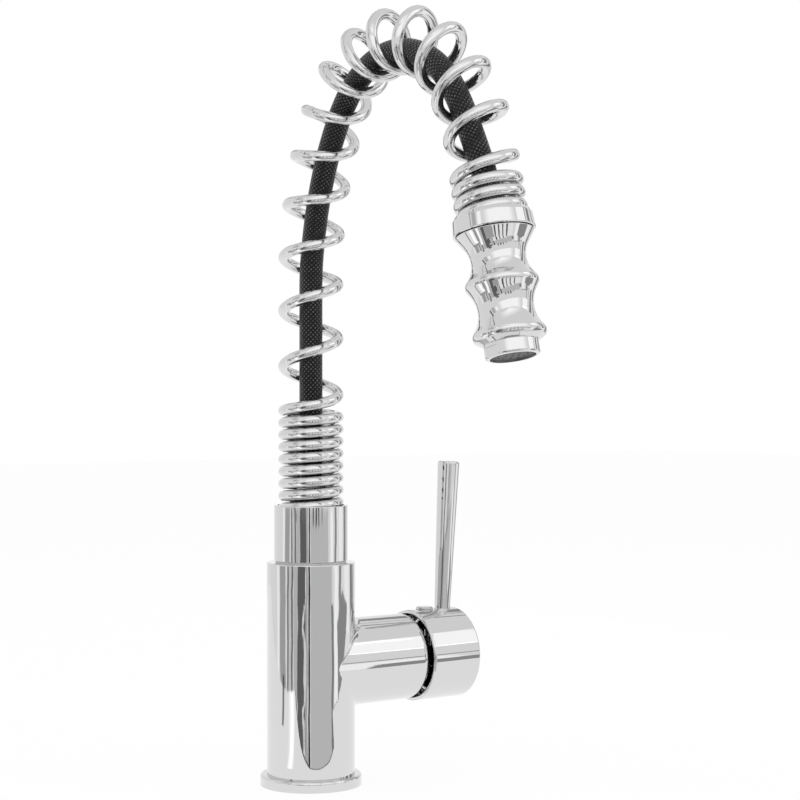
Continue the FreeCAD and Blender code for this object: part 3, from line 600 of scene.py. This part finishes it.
coil_line = coil_points()
spring = wire_from("coil_spring", coil_line, WIRE_R * MM, WIRE_SIDES)
bpy.ops.object.shade_smooth_by_angle(angle=math.radians(40))
spring.data.materials.clear()
spring.data.materials.append(wire_chrome)
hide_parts("spring")
print("spring turns", round(len(coil_line) / STEPS_PER_TURN, 1), "faces", len(spring.data.polygons))


# %% [markdown]
# ## Hose
# The hose is a flexible tube in its braided sleeve. It runs up inside the coil, lies against the inner
# side of the bend, and goes straight into the head. A NURBS line is drawn towards a few places without
# touching each one, and that gives the soft bend. Each place is a distance out from the column and a
# height, in millimetres.

# %% Hose line
HOSE_ROUTE = ((0, 141.6), (0, 190), (0, 238), (0, 268), (10, 308), (28, 341), (46, 356.5), (66, 363),
              (87, 361.5), (107, 352.5), (122, 336), (135, 312), (143.5, 295), (147.5, 276.6))
route = bpy.data.curves.new("hose_route", "CURVE")
route.dimensions = "3D"
route.resolution_u = 12
route_spline = route.splines.new("NURBS")
route_spline.points.add(len(HOSE_ROUTE) - 1)
for place, (out, height) in zip(route_spline.points, HOSE_ROUTE):
    place.co = (0, -out * MM, height * MM, 1)
route_spline.order_u = 3
route_spline.use_endpoint_u = True
route_object = bpy.data.objects.new("hose_route", route)
bpy.context.scene.collection.objects.link(route_object)
route_mesh = bpy.data.meshes.new_from_object(route_object)
hose_points = [vertex.co.copy() for vertex in route_mesh.vertices]
bpy.data.objects.remove(route_object)
bpy.data.meshes.remove(route_mesh)
hose_length = sum((b - a).length for a, b in zip(hose_points, hose_points[1:]))
print("hose", round(hose_length * 1000, 1), "mm")


# %% [markdown]
# A bevelled curve would have a UV map that stretches in the bends, and the braid needs yarns of one
# width. So the tube is built ring by ring, and its UV map is counted in metres: U round it, V along it.

# %% Hose tube
HOSE_SIDES = 40


def tube_with_uv(name, points, radius, sides):
    """Rings along a line in the plane of the arch, with a UV map in metres: round, then along."""
    vertices, faces, uv = [], [], []
    along = [0.0]
    for a, b in zip(points, points[1:]):
        along.append(along[-1] + (b - a).length)
    for i, point in enumerate(points):
        ahead = (points[min(i + 1, len(points) - 1)] - points[max(i - 1, 0)]).normalized()
        side = Vector((1, 0, 0))
        across = ahead.cross(side)
        for j in range(sides):
            a = math.tau * j / sides
            vertices.append(point + (side * math.cos(a) + across * math.sin(a)) * radius)
    for i in range(len(points) - 1):
        for j in range(sides):
            k = (j + 1) % sides
            faces.append((i * sides + j, i * sides + k, (i + 1) * sides + k, (i + 1) * sides + j))
            u0, u1 = math.tau * radius * j / sides, math.tau * radius * (j + 1) / sides
            uv += [(u0, along[i]), (u1, along[i]), (u1, along[i + 1]), (u0, along[i + 1])]
    mesh = bpy.data.meshes.new(name)
    mesh.from_pydata(vertices, [], faces)
    layer = mesh.uv_layers.new(name="UVMap")
    for loop, place in zip(layer.data, uv):
        loop.uv = place
    mesh.shade_smooth()
    piece = bpy.data.objects.new(name, mesh)
    bpy.context.scene.collection.objects.link(piece)
    return piece


hose = tube_with_uv("braided_hose", hose_points, HOSE_R, HOSE_SIDES)
hose.data.materials.append(black_braid)
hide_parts("hose")
print("hose faces", len(hose.data.polygons))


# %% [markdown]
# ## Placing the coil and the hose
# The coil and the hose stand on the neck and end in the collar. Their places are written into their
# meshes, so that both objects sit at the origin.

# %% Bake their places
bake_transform(spring)
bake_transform(hose)


# %% [markdown]
# ## Studio
# Chrome shows the room more than itself, so the room is part of the finish. Straight on, the room is
# plain: white all round, with a pale floor. Where the floor is looked at it mostly glows, so that it
# meets the white behind it without a hard line, and the small share that doesn't glow takes the tap's
# shadow. The light that it sends to the tap stays that of a pale surface. Mirrors don't see this floor;
# they are shown a card further on.

# %% Floor and world
FLOOR_GLOW = 0.92
ROOM_LIGHT = 0.85

floor_material, floor_shader = new_finish("floor", (0.92, 0.92, 0.92), 0.0, 0.6)
floor_tree = floor_material.node_tree


def seen_directly(tree):
    """1 for what the camera sees, straight or in a mirror or through glass; 0 for light on the object."""
    path = add(tree, "ShaderNodeLightPath")
    direct = maths(tree, "MAXIMUM", path.outputs["Is Camera Ray"], path.outputs["Is Glossy Ray"])
    return maths(tree, "MAXIMUM", direct, path.outputs["Is Transmission Ray"])


glow = add(floor_tree, "ShaderNodeEmission", Strength=1.0)
blend_in = add(floor_tree, "ShaderNodeMixShader")
seen_glow = maths(floor_tree, "MULTIPLY", seen_directly(floor_tree), FLOOR_GLOW)
floor_tree.links.new(seen_glow, blend_in.inputs[0])
floor_tree.links.new(floor_shader.outputs[0], blend_in.inputs[1])
floor_tree.links.new(glow.outputs[0], blend_in.inputs[2])
floor_tree.links.new(blend_in.outputs[0], floor_tree.nodes["Material Output"].inputs["Surface"])

deselect()
bpy.ops.mesh.primitive_plane_add(size=8.0, location=(0, 0, 0))
floor = bpy.context.active_object
floor.name = "floor"
floor.data.materials.append(floor_material)
floor.visible_glossy = False
floor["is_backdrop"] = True

world = bpy.data.worlds.new("studio")
world.use_nodes = True
bpy.context.scene.world = world
world_tree = world.node_tree
strength = maths(world_tree, "MULTIPLY", seen_directly(world_tree), 1 - ROOM_LIGHT)
strength = maths(world_tree, "ADD", strength, ROOM_LIGHT)
world_tree.links.new(strength, world_tree.nodes["Background"].inputs["Strength"])
world_tree.nodes["Background"].inputs["Color"].default_value = (1, 1, 1, 1)
print("floor", floor.name, "world", world.name)


# %% [markdown]
# ## Lamps
# Three softboxes model the tap: one at the right, one above and one behind. An area lamp shows in chrome
# as a bright panel. That suits the one at the right, and the other two are hidden from mirrors.

# %% Lamps
def round_table(turn, distance, height):
    """A place round the object: turn in degrees to the camera's right, seen from the object."""
    a = math.radians(turn)
    away = -view_dir * math.cos(a) + right_dir * math.sin(a)
    return away * distance + Vector((0, 0, height))


LAMPS_AIM = Vector((0, -0.03, 0.10))


def softbox(name, turn, rise, distance, width, tall, strength):
    """An area lamp that faces the tap. Its strength is what a mirror shows of it."""
    data = bpy.data.lights.new(name, "AREA")
    data.shape = "RECTANGLE"
    data.size, data.size_y = width, tall
    data.energy = strength * width * tall * math.pi
    lamp = bpy.data.objects.new(name, data)
    bpy.context.scene.collection.objects.link(lamp)
    lamp.location = round_table(turn, distance * math.cos(math.radians(rise)),
                                distance * math.sin(math.radians(rise))) + LAMPS_AIM
    lamp.rotation_euler = (LAMPS_AIM - lamp.location).to_track_quat("-Z", "Y").to_euler()
    lamp.visible_camera = False
    return lamp


softbox("lamp_right", 80, 29, 1.3, 0.32, 0.5, 1.7)
lamp_top = softbox("lamp_top", -60, 62, 1.3, 0.8, 0.5, 1.6)
lamp_back = softbox("lamp_back", 150, 40, 1.4, 0.6, 0.4, 1.4)
for hidden in (lamp_top, lamp_back):
    hidden.visible_glossy = False
print("lamps", 3)


# %% [markdown]
# ## What the mirrors show
# Chrome needs something to show, or it looks like grey paint. The room could be built as real walls and
# cloth, but those would also throw light and shadow. So each piece of the room is a glowing sheet that
# only mirrors see, and its tone is its brightness. Each corner of a sheet says how solid the sheet is
# there, so that a border can fade.

# %% A sheet that only mirrors see
def show_to_mirrors(name, corners, covers, across, tone):
    """A glowing sheet for reflections alone: rows of corners, and how solid it is at each corner."""
    material = bpy.data.materials.new(name)
    material.use_nodes = True
    tree = material.node_tree
    glow = add(tree, "ShaderNodeEmission", Strength=tone)
    clear = add(tree, "ShaderNodeBsdfTransparent")
    cover = add(tree, "ShaderNodeAttribute", attribute_name="cover")
    fade = add(tree, "ShaderNodeMixShader")
    tree.links.new(cover.outputs["Fac"], fade.inputs[0])
    tree.links.new(clear.outputs[0], fade.inputs[1])
    tree.links.new(glow.outputs[0], fade.inputs[2])
    tree.links.new(fade.outputs[0], tree.nodes["Material Output"].inputs["Surface"])

    faces = []
    for k in range(len(corners) - across):
        if (k + 1) % across:
            faces.append((k, k + 1, k + across + 1, k + across))
    mesh = bpy.data.meshes.new(name)
    mesh.from_pydata(corners, [], faces)
    mesh.attributes.new("cover", "FLOAT", "POINT").data.foreach_set("value", covers)
    mesh.materials.append(material)
    sheet = bpy.data.objects.new(name, mesh)
    bpy.context.scene.collection.objects.link(sheet)
    sheet.visible_camera = False
    sheet.visible_diffuse = False
    sheet.visible_shadow = False
    sheet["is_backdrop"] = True


print("tool", show_to_mirrors.__name__)


# %% [markdown]
# The tap stands on a white card whose front edge is near and winds a little, with a thin dark edge and,
# beyond it on the right, a grey table. A wedge of glare lies on the card, and a wedge of shade beside it.

# %% Card under the tap
GROUND = -0.001
EDGE_BACK, EDGE_WIDTH = 0.008, 0.010
CARD_DEPTH = 1.1
CARD_FRONT = [(-0.34, -0.10), (-0.15, -0.083), (-0.05, -0.068), (-0.022, -0.078), (0.017, -0.098),
              (0.06, -0.134), (0.10, -0.245), (0.60, -0.245)]
TABLE = [(0.42, -0.58, GROUND), (0.8, -0.58, GROUND), (0.18, -0.25, GROUND), (0.8, -0.25, GROUND)]
WEDGE_HEIGHT = 0.0006


def level_band(name, line, width, height, tone):
    """A level band that runs along a line of (x, y) points and reaches back by the width."""
    corners = [(x, y, height) for x, y in line] + [(x, y + width, height) for x, y in line]
    show_to_mirrors(name, corners, [1.0] * len(corners), len(line), tone)


def wedge(name, turn_from, turn_to, near, far, tone):
    """A level wedge on the card, between two turns and two distances, that fades to its sides."""
    middle = (turn_from + turn_to) / 2
    corners = [round_table(turn, distance, WEDGE_HEIGHT)
               for distance in (near, far) for turn in (turn_from, middle, turn_to)]
    show_to_mirrors(name, corners, [0, 1, 0, 0, 1, 0], 3, tone)


level_band("white_card", CARD_FRONT, CARD_DEPTH, 0.0, 1.1)
level_band("card_edge", [(x, y - EDGE_BACK) for x, y in CARD_FRONT], EDGE_WIDTH, GROUND, 0.12)
show_to_mirrors("table_beyond", TABLE, [1.0] * len(TABLE), 2, 0.36)
wedge("card_glare", -56, -37, 0.075, 0.34, 1.75)
wedge("card_shade", -76, -67, 0.20, 0.40, 0.05)
print("card", len(CARD_FRONT), "places along its front edge")


# %% [markdown]
# The ceiling is bright. Two narrow dark gaps in it draw thin lines along the round arm, and a soft glow
# in front brightens the collar and the waists of the hand grip. One point in the middle of the glow is
# solid and all the others are clear, so it fades on every side.

# %% Ceiling
GLOW_HEIGHT = 1.26
GLOW = [round_table(turn, distance, GLOW_HEIGHT) for distance in (0.40, 1.0, 1.5) for turn in (-45, 10, 65)]


def level_sheet(name, left, right, front, back, height, tone):
    """A level rectangle, in metres, with clean edges."""
    corners = [(left, front, height), (right, front, height), (left, back, height), (right, back, height)]
    show_to_mirrors(name, corners, [1.0] * len(corners), 2, tone)


level_sheet("ceiling", -1.2, 1.2, -1.2, 1.2, 1.3, 0.95)
level_sheet("ceiling_gap", -1.2, 1.2, 0.40, 0.47, 1.28, 0.35)
level_sheet("ceiling_edge", -1.2, 1.2, 0.70, 0.74, 1.28, 0.35)
show_to_mirrors("ceiling_glow", GLOW, [0, 0, 0, 0, 1, 0, 0, 0, 0], 3, 1.5)
level_sheet("ceiling_far", -0.2, 1.9, 0.76, 1.9, 1.32, 0.71)
print("ceiling glow at", GLOW_HEIGHT, "m")


# %% [markdown]
# All round hangs cloth. The lower half is grey with dark openings, which draw the upright bands down the
# column, and light and dark strips stand above it for the head and the valve arm. Cloth hangs in waves,
# so the upright edges wander a little. Each strip hangs a little nearer than the one before it, so a
# later row covers an earlier one.

# %% Hang the strips
ROWS = 60
DEGREES_A_PART = 8
INSIDE_SHARE = 0.99


def strip(name, turn_from, turn_to, low, high, tone, wave, distance, soft_turn=0.8, soft_rise=0.006):
    """An upright strip of cloth between two turns, in degrees, that wanders and fades at its border."""
    corners, covers = [], []
    inner = (turn_from + soft_turn, turn_to - soft_turn)
    parts = max(1, math.ceil((inner[1] - inner[0]) / DEGREES_A_PART))
    sides = [inner[0] + (inner[1] - inner[0]) * i / parts for i in range(parts + 1)]
    sides = [turn_from] + sides + [turn_to]
    heights = [low, low + soft_rise] + [low + (high - low) * i / ROWS for i in range(1, ROWS)]
    heights += [high - soft_rise, high]
    margin = soft_rise * INSIDE_SHARE
    for height in sorted(heights):
        for turn in sides:
            slow, middle = math.sin(height * 61 + turn_from), math.sin(height * 143 + 2 * turn_to)
            drift = slow + 0.6 * middle + 0.35 * math.sin(height * 331 + turn)
            corners.append(round_table(turn + wave * drift, distance, height))
            inside = turn in sides[1:-1] and low + margin < height < high - margin
            covers.append(1.0 if inside else 0.0)
    show_to_mirrors(name, corners, covers, len(sides), tone)


FIRST_HANG, HANG_STEP = 1.16, 0.004
LOW, HIGH = -1.2, 0.072
STRIPS = (                      # name, turn from, turn to, low, high, tone, wave
    ("left_bright", -95, -87, LOW, HIGH, 1.25, 0.3),
    ("left_grey", -85, -66, LOW, HIGH, 0.5, 0.8),
    ("left_line", -62, -56, LOW, HIGH, 0.30, 0.7),
    ("left_fold", -56, -50, LOW, HIGH, 0.76, 0.9),
    ("left_dark", -50, -44, LOW, HIGH, 0.24, 0.9),
    ("slit_left", -43, -31, LOW, HIGH, 0.66, 0.8),
    ("opening", -32, -11, LOW, HIGH, 0.16, 0.8),
    ("opening_cloth", -17, -12, -0.22, -0.03, 0.95, 2.4),
    ("opening_fold", -11, -5, LOW, HIGH, 0.55, 1.2),
    ("opening_edge", -4, 1, LOW, HIGH, 0.05, 0.5),
    ("front_cloth", 2, 58, LOW, HIGH - 0.005, 0.70, 0.3),
    ("front_floor", -22, 60, -2.4, -0.58, 0.5, 0.8),
    ("front_card", -2, 60, -0.62, -0.235, 1.15, 0.5),
    ("low_mark_1", 8, 13, -0.60, -0.24, 0.12, 0.5),
    ("low_mark_2", 19, 23, -0.54, -0.24, 0.15, 0.5),
    ("low_mark_3", 30, 34, -0.60, -0.24, 0.12, 0.5),
    ("low_mark_4", 41, 45, -0.52, -0.24, 0.15, 0.5),
    ("left_floor", -92, -46, -2.0, -0.36, 0.5, 0.8),
    ("front_mark_1", 8, 12, 0.046, 0.20, 0.12, 0.5),
    ("front_mark_2", 16, 21, 0.046, 0.18, 0.12, 0.5),
    ("front_mark_3", 25, 29, 0.046, 0.21, 0.12, 0.5),
    ("front_mark_4", 35, 38, 0.05, 0.15, 0.2, 0.5),
    ("opening_mark", -26, -14, 0.05, 0.20, 0.2, 1.5),
    ("left_mark", -52, -44, 0.05, 0.24, 0.3, 1.5),
    ("front_edge", 57, 64, -0.175, -0.02, 0.30, 0.5),
    ("right_light", 65, 76, -0.5, HIGH, 1.3, 0.6),
    ("right_seam", 80, 88, -0.3, 0.16, 0.36, 1.2),
    ("right_cloth", 90, 97, -0.4, 0.5, 1.1, 0.5),
    ("right_bright", 98, 118, -0.5, 0.6, 1.25, 0.5),
    ("right_fold", 124, 136, -0.5, 0.4, 0.3, 0.8),
    ("back_fold", 140, 152, -0.6, 0.6, 0.8, 0.4),
    ("back_gap", 150, 205, 0.60, 0.84, 0.35, 0.4),
    ("right_line", 62, 100, 0.088, 0.13, 0.45, 0.1),
    ("right_beam_1", 84, 88, 0.18, 0.46, 0.4, 0.6),
    ("right_beam_2", 94, 98, 0.15, 0.8, 0.4, 0.6),
    ("right_beam_3", 104, 116, 0.14, 1.0, 0.3, 0.8),
    ("right_beam_4", 124, 131, 0.42, 1.0, 0.5, 0.8),
    ("high_line", -74, -66, 0.62, 1.2, 0.25, 0.8),
)
for i, (name, turn_from, turn_to, low, high, tone, wave) in enumerate(STRIPS):
    strip(name, turn_from, turn_to, low, high, tone, wave, FIRST_HANG - HANG_STEP * i)
print("strips", len(STRIPS))


# %% [markdown]
# Windows, slits of light and one shade beside a slit differ from cloth in one way: they fade over a
# wide border. They draw the soft highlights on the head, and the bright lines down the neck and the
# column.

# %% Soft windows
WINDOWS = (                     # name, turn from, turn to, low, high, tone, wave, distance, soft borders
    ("front_window", -30, 64, 0.36, 1.25, 1.4, 0.8, 1.2, 18.0, 0.12),
    ("side_window", 66, 100, 0.35, 1.13, 1.42, 0.8, 1.06, 6.0, 0.1),
    ("slit_above", -51, -37, 0.064, 0.42, 1.2, 0.5, 1.04, 6.5, 0.16),
    ("high_shade", -64, -46, 0.42, 1.15, 0.6, 0.5, 1.03, 5.0, 0.14),
    ("high_slit", -46, -32, 0.42, 1.1, 1.4, 0.5, 1.02, 5.0, 0.2),
    ("slit_below", -50, -38, -2.0, -0.27, 1.5, 0.5, 1.04, 3.0, 0.02),
)
for window in WINDOWS:
    strip(*window)
print("windows", len(WINDOWS))


# %% [markdown]
# ## Size
# We measure the box round everything that renders, leaving out the floor and the sheets for mirrors, and
# print its size. The dressed model may not outgrow the CAD model.

# %% Print the size
low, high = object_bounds()
print("visual", [round(v * 1000, 1) for v in high - low], "mm")
